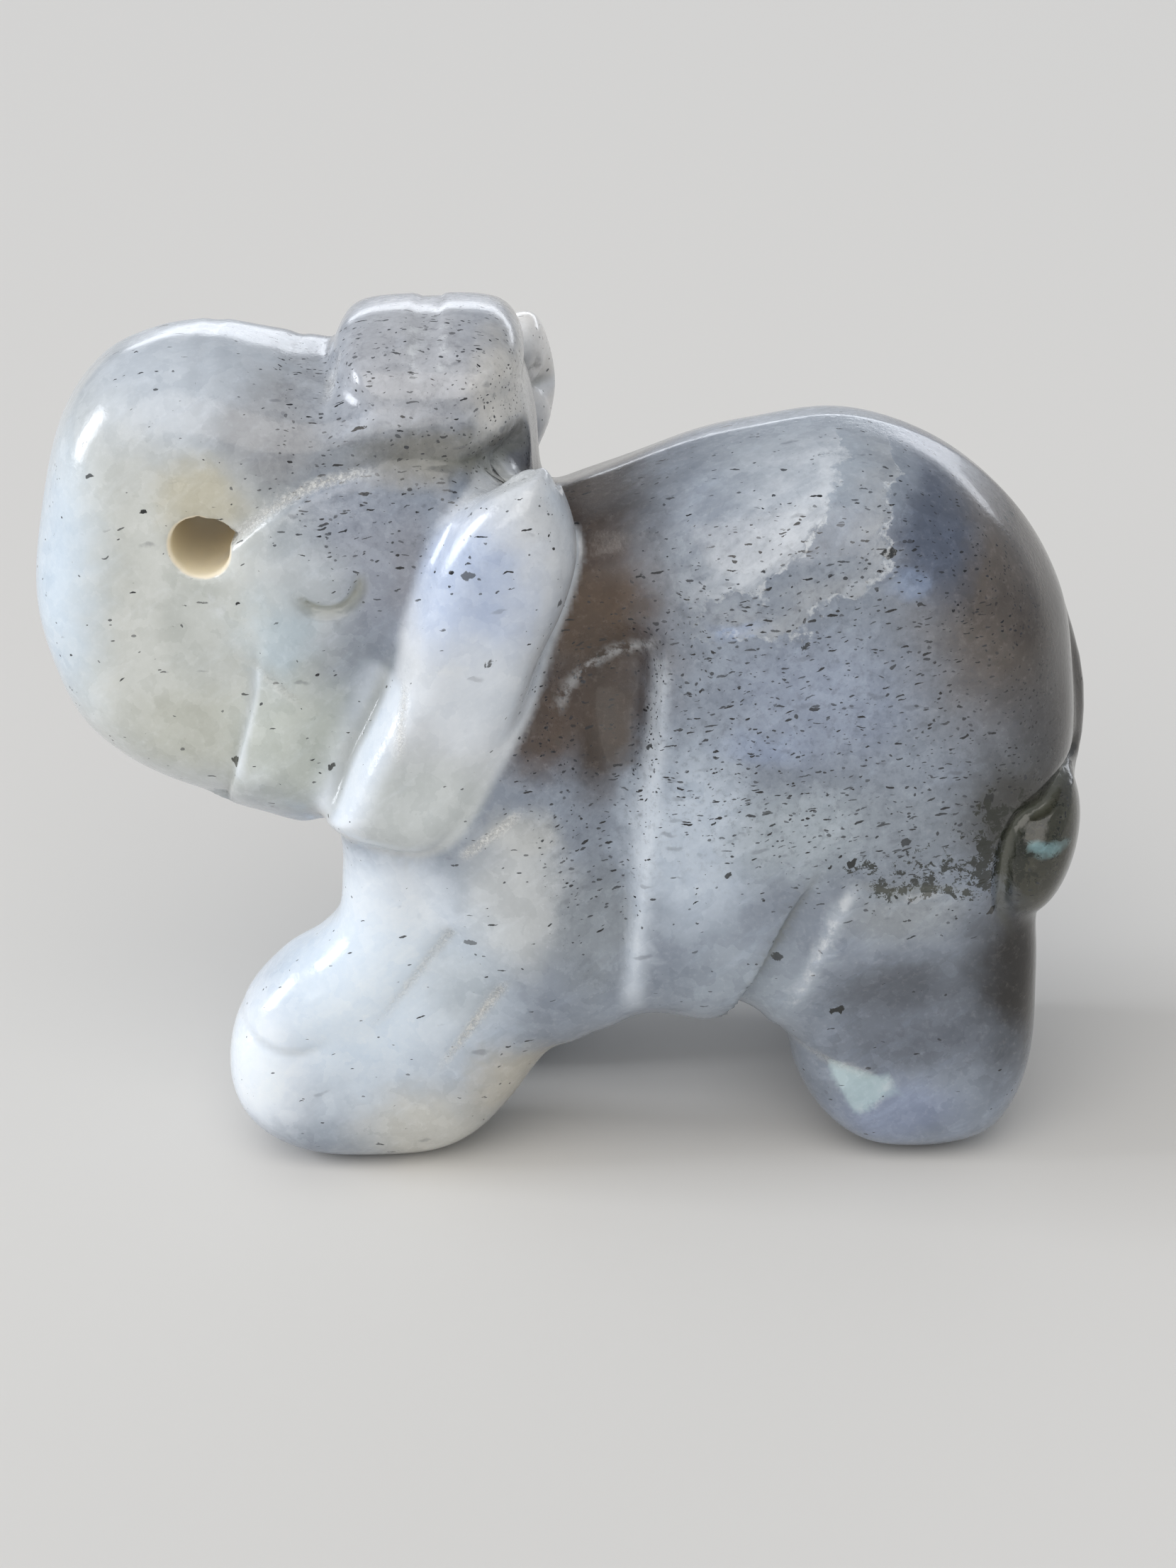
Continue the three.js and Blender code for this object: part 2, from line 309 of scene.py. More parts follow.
def ears(x, y, z):
    """Two flaps that lie back against the shoulders; the right one is set higher and leans forward."""
    left = pillow(to_outline(x, z, ear_outline), y + 6.0, EAR_HALF, 1.8, 2.2)
    forward_lean = 0.6 + 0.12 * (29 - z)
    right = pillow(to_outline(x + forward_lean, z - 1.8, ear_outline), y - 6.2, EAR_HALF, 1.8, 2.2)
    return np.minimum(left, right)


def masses(x, y, z):
    """The rounded masses of the carving before any line is cut."""
    side = np.abs(y)
    # a flat facet runs along the crest of the back and leans to the right
    crest = 0.2 * np.maximum(y + 1, 0) * ramp((z - 16) / 8)
    body = pillow(to_outline(x, z + crest, body_outline), y, BODY_HALF, 5.0, 2.6)
    head = pillow(to_outline(x, z, head_outline), y, HEAD_HALF, 3.0, 2.4)
    # the trunk is thinnest at its foremost curve
    trunk = pillow(to_outline(x, z, trunk_outline), y, 4.9 + 0.7 * ramp((x + 16) / 6), 3.4)
    tip = pillow(to_outline(x, z, tip_outline), y, TIP_HALF, 2.6)
    # the right front leg steps back below the shoulder, and its knee is a millimetre lower
    step = RIGHT_FRONT_STEP * (1 - ramp((z - 8) / 7))
    lower = ramp(z / 4)
    left_leg = pillow(to_outline(x, z, front_leg_outline), y + LEG_MIDDLE, FRONT_LEG_HALF, 2.8)
    right_leg = to_outline(x - step, z + lower, front_leg_outline)
    right_leg = pillow(right_leg, y - LEG_MIDDLE, FRONT_LEG_HALF, 2.8)
    hind_legs = pillow(to_outline(x, z, hind_leg_outline), side - LEG_MIDDLE, HIND_LEG_HALF, 2.8)
    whole = join(trunk, head, 1.6)
    # the tip lies on the crown with a sharp crease above and a soft one below
    whole = join(whole, tip, 0.5 + 1.3 * ramp((31.4 - z) / 1.5))
    for mass, fillet in ((body, 1.2), (left_leg, 0.9), (right_leg, 0.9), (hind_legs, 0.9)):
        whole = join(whole, mass, fillet)
    # the neck is ground back behind each ear, so that the ear stands free of the shoulder
    neck = to_ellipsoid((x - 0.4, side - 10.0, z - 23.6), (4.6, 4.4, 6.5), 4.4)
    whole = -join(-whole, neck, 1.6)
    # the ear's front edge runs softly into the cheek
    soft = 0.3 + 0.9 * ramp((-2.9 - x - 0.31 * (28 - z)) / 1.4)
    whole = join(whole, ears(x, y, z), soft)
    return join(whole, tail(x, y, z), 0.35)


def drilled(field, x, z):
    """A hole drilled straight through the curl of the trunk."""
    return -join(-field, np.hypot(x - HOLE_AT[0], z - HOLE_AT[1]) - HOLE_RADIUS, 0.12)


STEP = 0.18                           # spacing of the grid that the surface is drawn from
DEEPEST = 3.0                         # distances past this are cut off
xs = np.arange(-21, 21, STEP, dtype=np.float32)[:, None, None]
ys = np.arange(-9.2, 9.2, STEP, dtype=np.float32)[None, :, None]
zs = np.arange(-0.8, 34.2, STEP, dtype=np.float32)[None, None, :]
field = drilled(masses(xs, ys, zs), xs, zs)
field = np.maximum(field, -zs)        # the soles are ground flat

grid = openvdb.FloatGrid(DEEPEST)
grid.copyFromArray(np.ascontiguousarray(np.clip(field, -DEEPEST, DEEPEST)))
points, quads = grid.convertToQuads(0.0)
points = points * STEP + np.array([xs.min(), ys.min(), zs.min()])

# ---------------------------------------------------------------------------------------------
# The lines. With the masses ground, the carver cuts the lines and hollows into the faces with
# small discs and burrs, which leaves their bottoms rough and white where polish cannot reach.
# ---------------------------------------------------------------------------------------------


def normals(points, quads):
    """The outward direction at each point, as a mean over the faces round it."""
    a, b, c, d = (points[quads[:, k]] for k in range(4))
    face = np.cross(c - a, d - b)
    total = np.zeros_like(points)
    for k in range(4):
        np.add.at(total, quads[:, k], face)
    return total / np.maximum(np.linalg.norm(total, axis=1, keepdims=True), 1e-9)


def line(path, depth, left, right, fades=(0.1, 0.1), frost=0.0, sides=(-1, 1), reach=9.0):
    """A cut line: path, depth, and its (width, power) to either hand of the path. `fades` is the part of
    each end that runs out, `sides` the faces it is cut in, `reach` how far from the middle it goes."""
    return path, depth, left, right, fades, frost, sides, reach


lines = {
    "brow": line([(-12.3, 25.9), (-11.0, 26.9), (-9.9, 27.6), (-8.8, 28.15), (-7.5, 28.5), (-6.2, 28.7)],
                 0.42, (1.6, 2), (0.45, 1.5), (0.02, 0.3), 1.0),
    "tip saw cut": line([(-7.6, 34.2), (-8.0, 33.3), (-8.15, 32.4), (-8.4, 31.1), (-8.7, 30.4)],
                        0.45, (0.14, 1), (0.7, 2), (0, 0.5), 1.0),
    "under the tip": line([(-8.5, 28.9), (-6.2, 28.9), (-4, 28.9), (-2.4, 28.7), (0, 28.3)],
                          0.8, (1.8, 2), (1.8, 2), (0.7, 0), reach=6.4),
    "cheek": line([(-5.8, 22.8), (-6.5, 21.7), (-7.1, 20.7), (-7.8, 19.3), (-8.5, 17.8), (-9.2, 15.6),
                   (-9.8, 13.8)], 0.6, (1.8, 1.3), (1.8, 1.6), (0.4, 0.3)),
    "tusk top": line([(-11.9, 21.5), (-10.8, 20.6), (-9.8, 19.9), (-8.7, 19.2)],
                     0.2, (1.3, 2), (0.14, 1), (0.3, 0.6), 0.2),
    "tusk front": line([(-11.2, 22.6), (-11.5, 21.2), (-11.8, 19.7), (-12.3, 18.1), (-12.8, 16.4),
                        (-13.2, 14.6)], 0.35, (0.3, 1), (2.4, 2), (0.4, 0)),
    "haunch": line([(9.4, 14.2), (9.0, 13.0), (8.2, 11.5), (7.4, 9.6), (6.9, 8.5), (6.2, 7.2), (5.6, 5.4)],
                   0.75, (1.8, 1), (0.16, 1), (0.5, 0)),
    "haunch top": line([(9.2, 13.1), (10.7, 12.9), (11.9, 12.5), (13.3, 12.6), (14.7, 12.5), (15.9, 11.6)],
                       0.26, (1.6, 2), (0.5, 1), (0.4, 0.4)),
    "knee": line([(-4.5, 11.1), (-4.8, 10.4), (-6.4, 8.2), (-8.3, 5.9)],
                 0.22, (1.6, 2), (0.6, 2), (0.3, 0.4), 0.45),
    "toe": line([(-13.6, 6.6), (-12, 5.7), (-10.4, 5.5), (-9, 6.4)],
                0.28, (2.2, 2), (1.7, 2), (0.35, 0.4)),
    "elbow": line([(-2.3, 9.1), (-3.1, 7.8), (-4.2, 6.1), (-5.7, 4.1)],
                  0.24, (1.2, 2), (0.6, 2), (0.3, 0.4), 1.0),
    "ear ridge": line([(-5.9, 21.4), (-6.05, 20), (-6.2, 17.9)],
                      0.03, (0.3, 1), (0.3, 1), (0.3, 0.3), 0.8),
    "ear top": line([(-0.6, 29.2), (-2.2, 28.5), (-3.2, 27.9), (-4.1, 27.1), (-4.7, 26.2)],
                    0.25, (0.3, 1), (1, 2), (0, 0.6), 0.2),
    "under the ear": line([(-1.5, 16.4), (-2.4, 15.5), (-3.5, 14.6), (-4.2, 14.0)],
                          0.14, (0.6, 2), (0.3, 1), (0.3, 0.3), 1.0),
    "hind toe": line([(8.0, 5.4), (9.9, 4.7), (10.9, 4.4), (12.2, 3.8)],
                     0.16, (0.2, 1), (1.6, 2), (0.3, 0.5), 0.3),
    "tuft": line([(19.6, 16.3), (18.5, 16.2), (17.7, 15.7), (16.8, 15.2), (16.3, 14.2), (16.15, 12.8),
                  (16.3, 11.2), (17, 9.6)], 0.45, (0.35, 1), (0.8, 2), (0, 0.2), sides=(-1,)),
}


EYE_AT, EYE_RADIUS = (-8.65, 24.7), 1.25
SHARP = 1e-3                          # an end that does not run out at all


def cut_depth(x, y, z):
    """Depth to take off at each point, and the marks that go with it: frost, painted shade, eye and satin.
    """
    side = np.abs(y)
    on_side = ramp((side - 2.2) / 1.2)
    depth = np.zeros_like(x)
    frost = np.zeros_like(x)
    crease_shade = np.zeros_like(x)
    for path, deep, left, right, (fade_in, fade_out), white, sides, reach in lines.values():
        away, along = to_stroke(x, z, path)
        fade = ramp(along / max(fade_in, SHARP)) * ramp((1 - along) / max(fade_out, SHARP)) * on_side
        fade = fade * ramp((reach - side) / 0.8) * np.isin(np.sign(y), sides)
        section = np.where(away > 0, notch(away / left[0], left[1]), notch(away / right[0], right[1]))
        depth += deep * section * fade
        frost = np.maximum(frost, white * hollow(away / 0.28) * fade)
        # painted shade: the bottoms of the lines that are not frosted are darkened
        crease_shade = np.maximum(crease_shade, (1 - white) * hollow(away / 0.3) * fade * min(deep / 0.6, 1))

    # shoulder: a long slope down to a valley, then a short wall up to the front edge of the belly
    valley = 2.0 + 0.004 * np.clip(z - 12, 0, 12) ** 2 - 0.3 * ramp((12 - z) / 5)
    wall = 0.5 + 0.7 * ramp((z - 9) / 9)
    away = x - valley
    section = np.where(away < 0, ramp(1 + away / 4.5) ** 1.5, notch(away / wall))
    shoulder = section * ramp((z - 6.5) / 6) * ramp((23.2 - z) / 2.2) * on_side
    depth += 0.9 * shoulder

    # eye: a round ball left proud of the face, with a crescent cut under it
    eye_x, eye_z = x - EYE_AT[0], z - EYE_AT[1]
    angle = np.arctan2(eye_z, eye_x)
    around = ramp((math.radians(50) - np.abs(angle + math.radians(70))) / math.radians(40) + 1)
    from_crescent = np.hypot(eye_x, eye_z - 0.05) - EYE_RADIUS
    eye = notch(from_crescent / 0.3) * around * on_side
    # painted shadow: a dark line along the lower edge of the crescent
    lid = hollow((from_crescent - 0.25) / 0.2) * around * on_side
    depth += 0.46 * eye
    depth -= 0.12 * hollow(np.hypot(eye_x, eye_z) / 1.15) * on_side

    # two shallow steps across the top of the trunk tip
    across = ramp((x + 5.5) / 0.2) * ramp((-4.3 - x) / 0.2)
    depth += 0.12 * across * ramp((z - 31.8) / 1.0)
    # wrinkles on the bend of the trunk
    for at, deep in ((-13.0, 0.05), (-9.9, 0.08)):
        depth += deep * hollow((x - at) / 0.5) * ramp((z - 30.2) / 1.2)
    satin = shoulder * (away < 0.3)   # the slope of the shoulder is polished less than the rest
    return depth, {"frost": frost, "crease_shade": crease_shade, "eye": eye, "lid": lid, "satin": satin}


# Healed cracks in the polished left face (x, z). Milky veils end at the two long ones.
long_cracks = {
    "upper": [(3.4, 22.6), (5.1, 23.8), (6.4, 24.4), (8.0, 25.3), (8.7, 25.7), (8.9, 26.8), (9.8, 28.4)],
    "lower": [(3.6, 22.6), (5.1, 22.8), (6.5, 22.6), (8.1, 22.8), (9.6, 23.9), (10.9, 24.9), (11.7, 26.2),
              (11.9, 27.6)],
}
# Each short crack has its path and how white it is.
short_cracks = [
    ([(3.5, 22.4), (2.6, 21.9), (1.5, 21.5), (0.3, 20.6), (-0.6, 19.2)], 0.5),
    ([(10.7, 13.0), (9.9, 11.5), (9.3, 9.7), (8.9, 8.7), (8.1, 7.0)], 0.8),
    ([(9.9, 4.7), (10.9, 4.4), (12.1, 3.9), (11.6, 3.0), (10.9, 2.6)], 0.5),
    ([(-13.2, 23.9), (-12.7, 23.3), (-12.2, 23.0)], 0.7),
    ([(-5.1, 21.9), (-4.4, 21.9), (-3.6, 21.9)], 0.8),
    ([(-5.4, 34), (-5.35, 33), (-5.4, 31.4)], 0.8),
    ([(-4.3, 34), (-4.25, 33), (-4.3, 31.6)], 0.8),
]


def crack_strength(x, y, z):
    """How white each point is with a short crack; they are only in the left face."""
    strength = np.zeros_like(x)
    for path, full in short_cracks:
        away, along = to_stroke(x, z, path)
        ends = ramp(along / 0.15) * ramp((1 - along) / 0.15)
        strength = np.maximum(strength, full * notch(away / 0.3) * ends)
    return strength * (y < -2)


# Painted light on edges and narrow facets, where light shows through the stone or catches an edge: path,
# half width, strength.
thin_edges = [
    ([(3.4, 22.3), (3.2, 19.4), (2.9, 16.2), (2.6, 12.8), (2.4, 9.5), (2.2, 7)], 0.7, 0.75),
    ([(-6.3, 21.4), (-7.2, 19.4), (-8, 17.4), (-9, 15.0)], 1.5, 1.2),
    ([(-11.4, 21.2), (-11.7, 19.7), (-12.1, 18.1), (-12.5, 16.4)], 0.4, 0.7),
    ([(10.8, 13.1), (9.9, 11.5), (9.3, 9.7), (8.5, 7.6)], 0.5, 0.35),
    ([(-0.8, 28.8), (0.1, 27.3), (0.3, 26), (0.1, 24.4), (-0.6, 22.2), (-1.6, 19.4)], 0.4, 0.7),
    ([(-7.8, 34), (-8.1, 32.6), (-8.45, 31), (-8.6, 30.2)], 0.35, 1.0),
]


def edge_glow(x, y, z):
    """How much painted light glows at each point of the lit edges, on both sides."""
    strength = np.zeros_like(x)
    for path, half_width, full in thin_edges:
        away, along = to_stroke(x, z, path)
        ends = ramp(along / 0.1) * ramp((1 - along) / 0.1)
        strength = np.maximum(strength, full * hollow(away / half_width) * ends)
    return strength * ramp((np.abs(y) - 4) / 1.5)


# a painted green-white highlight lies on the toe of the left hind foot
glint_outline = [(9.8, 4.7), (11, 4.45), (12.3, 3.85), (11.8, 3.1), (11, 2.5), (10.4, 3.4)]

x, y, z = points.T
depth, painted = cut_depth(x, y, z)
painted["crack"] = crack_strength(x, y, z)
for name, path in long_cracks.items():
    above, along = to_stroke(x, z, path)
    painted[name + " crack"] = np.clip(above, -4, 4)
    painted[name + " veil"] = ramp(along / 0.35) * ramp((-1.5 - y) / 3)
painted["thin"] = edge_glow(x, y, z)
painted["ear"] = ramp((0.5 - ears(x, y, z)) / 0.4)
painted["glint"] = ramp(0.5 - to_outline(x, z, glint_outline) / 0.2) * (y < -5)
# grinding by hand leaves slow waves of a few hundredths of a millimetre, but not in the flat soles
waves = 0.04 * (np.sin(0.9 * x + 0.7 * z) + np.sin(1.3 * y - 0.8 * z + 1)) * ramp(z)
points = points - normals(points, quads) * (depth + waves)[:, None]

dense_mesh = bpy.data.meshes.new("dense_carving")
dense_mesh.from_pydata(points * MM, [], quads.tolist())
for name, values in painted.items():
    dense_mesh.attributes.new(name, "FLOAT", "POINT").data.foreach_set("value", values.astype(np.float32))
carving = bpy.data.objects.new("carving", dense_mesh)
bpy.context.scene.collection.objects.link(carving)

# fewer and larger faces where the surface is nearly flat
FACES_KEPT = 0.63
carving.modifiers.new("fewer_faces", "DECIMATE").ratio = FACES_KEPT
stone_mesh = bpy.data.meshes.new_from_object(carving.evaluated_get(bpy.context.evaluated_depsgraph_get()))
stone_mesh.name = "stone_elephant_carving"
carving.modifiers.clear()
carving.data = stone_mesh
stone_mesh.polygons.foreach_set("use_smooth", [True] * len(stone_mesh.polygons))

# ---------------------------------------------------------------------------------------------
# The stone. Polished grey feldspar with a weak blue flash: milky zones that blend from cream at
# the trunk to blue-grey at the rump, crossed by dark needles that all lie one way. It is slightly
# see-through, so light softens its edges, and it is polished by hand to a wet-looking gloss.
# ---------------------------------------------------------------------------------------------
stone, tree = new_material("polished_feldspar")
from_origin = node(tree, "TexCoord", {})["Object"]
in_mm = node(tree, "VectorMath", {"operation": "SCALE", 0: from_origin, "Scale": 1 / MM})[0]
marks = {name: node(tree, "Attribute", {"attribute_name": name})["Fac"] for name in painted}


def warp(tree, vector, scale, amount):
    """Pushes a place about by `amount` millimetres, so that zones get ragged, natural borders."""
    push = node(tree, "TexNoise", {"Vector": vector, "Scale": scale, "Detail": 3,
                                   "Roughness": 0.55})["Color"]
    push = node(tree, "VectorMath", {"operation": "SUBTRACT", 0: push, 1: (0.5, 0.5, 0.5)})[0]
    push = node(tree, "VectorMath", {"operation": "SCALE", 0: push, "Scale": 2 * amount})[0]
    return node(tree, "VectorMath", {"operation": "ADD", 0: vector, 1: push})[0]


def spot(tree, vector, centre, radii, core=0.25):
    """A soft ellipsoid: 1 inside its core, which is that share of its radii, and 0 outside them."""
    placed = node(tree, "Mapping", {"Vector": vector, "Location": [-c / r for c, r in zip(centre, radii)],
                                    "Scale": [1 / r for r in radii]})[0]
    length = node(tree, "VectorMath", {"operation": "LENGTH", 0: placed})["Value"]
    return node(tree, "MapRange", {"interpolation_type": "SMOOTHSTEP", "Value": length,
                                   "From Min": 1.0, "From Max": core})["Result"]


ragged = warp(tree, warp(tree, in_mm, 0.2, 1.1), 0.9, 0.6)

THROUGH = 60                          # zones run right through the block, from side to side
# colour, centre (x, z) and radii in millimetres, strength
body_zones = [
    # painted shade over smoky stone: the rump and the back of the hind leg darken away from the light
    ("#574e46", (16.2, 23.6), (5.8, 7), 0.95),
    ("#241d17", (20.4, 20), (6, 11), 1.0),          # smoky rump, darker still as painted shade on the side turned from the light
    ("#100b07", (17.8, 8.2), (4.8, 6.4), 1.0),
    # painted shade over brown stone: the neck and shoulder behind the ear, where the ear keeps the light
    # off
    ("#3f3936", (0.7, 27), (4.5, 4.0), 0.95),
    ("#524030", (1.0, 22.6), (4.2, 5.2), 1.0),      # brown stone of the shoulder, darkened as painted shade behind the ear
    ("#3a2e24", (1.4, 19), (2.2, 4.4), 1.0),
    ("#4e3d2d", (-0.9, 19.2), (2.4, 2.8), 0.9),
    ("#c4c8c9", (-2.2, 12.4), (3.2, 4.6), 0.9),
    # painted shade in the valley before the front edge of the belly
    ("#8c9399", (1.0, 11), (2.0, 4.6), 0.75),
    ("#dbe7f3", (-8, 8), (7.5, 8.5), 1.0),          # milky front leg
    ("#eef5fc", (-6.6, 12), (2.8, 2.8), 0.6),
    # painted light: the milky toe of the front feet made whiter where the window lights it
    ("#eef6ff", (-12.6, 4.5), (3.6, 4.5), 0.9),
    ("#cac8be", (-5.5, 1.5), (4.6, 3), 0.8),
    ("#cdc4ae", (-1.8, 3.8), (3.2, 2.8), 0.65),
    ("#cfcfc8", (-1.7, 15.3), (2.0, 1.6), 0.4),
    ("#b3bcc2", (-4.2, 8.2), (2.4, 3), 0.6),
    ("#c0ccda", (4.6, 14.6), (3.4, 6), 0.9),        # pale front of the belly
    ("#98a2ad", (6.5, 8), (4.5, 3.6), 0.8),
    ("#939eb2", (9, 20.5), (5, 3.6), 0.85),
    ("#9caccb", (6.8, 18.6), (2.6, 1.0), 0.4),      # blue flashes
    ("#9fb4dc", (6.4, 23.2), (1.4, 0.6), 0.6),
    ("#9ca5af", (9, 28.4), (5, 1.9), 0.8),
    ("#4d5668", (13.2, 26.2), (2.4, 3), 0.9),
    ("#8fa2c2", (12.2, 24.7), (1.0, 0.7), 0.45),
    ("#858d95", (12.0, 15), (4.6, 3), 0.6),
    ("#a6b0b8", (8.4, 14.8), (3.8, 3.2), 0.8),
    ("#2e2b22", (16.4, 16), (3.6, 3.6), 0.9),       # smoky stone round the tuft
    ("#949a9f", (12.4, 11.4), (3.4, 2.0), 0.85),    # milky top of the haunch
    ("#50555e", (12.4, 8.0), (3.6, 2.3), 0.85),
    ("#5b616c", (12.8, 5.6), (4.6, 2.3), 0.75),
    ("#8893ab", (12.6, 2.4), (3.6, 2.2), 0.85),     # lilac hind foot
]
head_zones = [
    ("#d3d6d1", (-15.5, 23), (9, 14), 1.0),         # creamy trunk
    ("#cbdae8", (-19.9, 24.5), (4.0, 9), 0.9),      # bluish white front rim of the trunk, lightened as painted light where it faces the window
    ("#c0c8d1", (-13, 32), (7, 4.5), 0.85),         # greyer top of the trunk
    ("#b8ad88", (-13.1, 27.4), (2.6, 2.2), 0.55),   # yellow stain around the hole
    # painted shadow below the hole
    ("#adb2ad", (-13.2, 22.4), (2.3, 4.0), 0.55),
    ("#b6b8ab", (-14, 18.4), (4.0, 2.8), 0.65),
    ("#919295", (-10.4, 30), (3.4, 2.4), 0.8),
    ("#b0b2b7", (-5, 32), (5, 3.4), 0.95),          # lilac-grey tip
    ("#dcd8cf", (-2.0, 31), (2.0, 2.8), 0.75),
    ("#737168", (-4.4, 29), (5.2, 1.5), 0.85),      # painted shade under the tip
    ("#989eaa", (-7, 25.4), (4, 4.0), 0.95),        # lilac-blue face
    ("#bfc6ca", (-9.5, 24.6), (2.4, 3.4), 0.7),
    # painted shade in the valley between the eye and the ear
    ("#84868e", (-5.6, 24.4), (1.2, 3.6), 0.6),
    ("#b2c4cf", (-10.8, 22.4), (2.0, 3.0), 0.6),
    ("#bcc2ba", (-9.6, 18.2), (4.2, 4), 0.9),       # greenish cream cheek
]
ear_zones = [
    ("#b9c7e0", (-3.6, 24.8), (4.0, 4.0), 0.9),     # blue upper ear
    ("#d6dde5", (-3.4, 21), (3.4, 3.2), 0.8),
    ("#c3c9c8", (-5.4, 16.4), (4, 3.8), 0.9),       # pale lower ear
]


def layers_of(tree, zones):
    """Each zone as a layer for `lay`."""
    return [(spot(tree, ragged, (x, 0, z), (rx, THROUGH, rz)), strength, tint, "MIX")
            for tint, (x, z), (rx, rz), strength in zones]


def lay(tree, colour, layers):
    """Lays tints over a colour, first to last. A layer is its mask, strength, tint and way of mixing."""
    for mask, strength, tint, mixing in layers:
        share = node(tree, "Math", {"operation": "MULTIPLY", 0: mask, 1: strength})[0]
        tint = srgb(tint) if isinstance(tint, str) else tint
        colour = node(tree, "Mix", {"data_type": "RGBA", "blend_type": mixing,
                                    0: share, 6: colour, 7: tint})[2]
    return colour


# two milky veils, each with a crisp ragged edge along a long crack and fading away above it
ripple = node(tree, "TexNoise", {"Vector": in_mm, "Scale": 0.55, "Detail": 6, "Roughness": 0.62})["Fac"]
ripple = node(tree, "MapRange", {"Value": ripple, "From Min": 0.3, "From Max": 0.7,
                                 "To Min": -0.7, "To Max": 0.7})["Result"]
slanted = node(tree, "Mapping", {"Vector": in_mm, "Rotation": (0, math.radians(38), 0)})[0]
slanted = node(tree, "VectorMath", {"operation": "MULTIPLY", 0: slanted, 1: (0.35, 1, 1.5)})[0]
streaks = node(tree, "TexNoise", {"Vector": warp(tree, slanted, 0.8, 0.3), "Scale": 1.1, "Detail": 5,
                                  "Roughness": 0.65})["Fac"]
veils = []
long_crack = 0.0
for name, reach, tint, strength in (("lower", 2.4, "#a3a8ae", 0.85), ("upper", 4.6, "#c3c9d0", 0.9)):
    above = node(tree, "Math", {"operation": "ADD", 0: marks[name + " crack"], 1: ripple})[0]
    veil = marks[name + " veil"]
    for pattern, start, full, least, most in ((above, 0.0, 0.2, 0.0, 1.0), (above, reach, 0.2, 0.0, 1.0),
                                              (streaks, 0.32, 0.58, 0.45, strength)):
        part = node(tree, "MapRange", {"interpolation_type": "SMOOTHSTEP", "Value": pattern,
                                       "From Min": start, "From Max": full,
                                       "To Min": least, "To Max": most})["Result"]
        veil = node(tree, "Math", {"operation": "MULTIPLY", 0: veil, 1: part})[0]
    veils.append((veil, 1.0, tint, "MIX"))
    beside = node(tree, "Math", {"operation": "ABSOLUTE", 0: above})[0]
    line_here = node(tree, "MapRange", {"interpolation_type": "SMOOTHSTEP", "Value": beside,
                                        "From Min": 0.16, "From Max": 0.02})["Result"]
    line_here = node(tree, "Math", {"operation": "MULTIPLY", 0: line_here, 1: marks[name + " veil"]})[0]
    long_crack = node(tree, "Math", {"operation": "MAXIMUM", 0: line_here, 1: long_crack})[0]

# a dark glassy tuft with a painted green highlight, and a painted highlight on the toe of the left hind
# foot
glassy_tuft = spot(tree, ragged, (18.2, -5, 13.6), (3.0, 7, 3.8), 0.6)
tuft_glint = spot(tree, ragged, (17.6, -7, 14.4), (1.0, 2.6, 0.5))
colour = lay(tree, srgb("#858e9b"), layers_of(tree, body_zones) + veils + [
    (glassy_tuft, 1.0, "#35352a", "MIX"),
    (tuft_glint, 0.8, "#7c9ca0", "MIX"),
    (marks["glint"], 0.75, "#bcd2d6", "MIX"),
] + layers_of(tree, head_zones))
# painted light: the top of the right ear is painted nearly white, to look lit although it lies in shade
painted_light_right_ear = spot(tree, in_mm, (-1, 8, 29), (4, 5, 6))
ear_colour = lay(tree, srgb("#ccd0d4"), layers_of(tree, ear_zones) + [
    (painted_light_right_ear, 1.0, "#fdf8f1", "MIX"),
])

# clouds about 2 mm across, crystal grain of 0.6 mm and flecks of 0.3 mm: a scale is one over the size
clouds = node(tree, "TexNoise", {"Vector": warp(tree, in_mm, 0.35, 0.8), "Scale": 0.45, "Detail": 6,
                                 "Roughness": 0.62})["Fac"]
crystals = node(tree, "TexVoronoi", {"Vector": warp(tree, in_mm, 2.2, 0.35), "Scale": 1.6})["Color"]
crystals = node(tree, "SeparateColor", {"Color": crystals})[0]
flecks = node(tree, "TexNoise", {"Vector": in_mm, "Scale": 3.4, "Detail": 5, "Roughness": 0.7})["Fac"]

# needles: dark flat grains up to 0.45 mm long, drawn at their real size, that all lie nearly level;
# they are thick on the body and head and rare on the trunk
thick = 0.05
for (x, z), (rx, rz), share in (((10, 20), (13, 10), 0.75), ((-4.5, 29), (8, 6.5), 0.6),
                                ((14.5, 13.5), (6, 4), 0.6), ((1, 18), (4, 9), 0.6)):
    here = spot(tree, ragged, (x, 0, z), (rx, THROUGH, rz), 0.5)
    here = node(tree, "Math", {"operation": "MULTIPLY", 0: here, 1: share})[0]
    thick = node(tree, "Math", {"operation": "MAXIMUM", 0: here, 1: thick})[0]
off_ears = node(tree, "MapRange", {"interpolation_type": "SMOOTHSTEP", "Value": marks["ear"],
                                   "To Min": 1.0, "To Max": 0.35})["Result"]
thick = node(tree, "Math", {"operation": "MULTIPLY", 0: thick, 1: off_ears})[0]


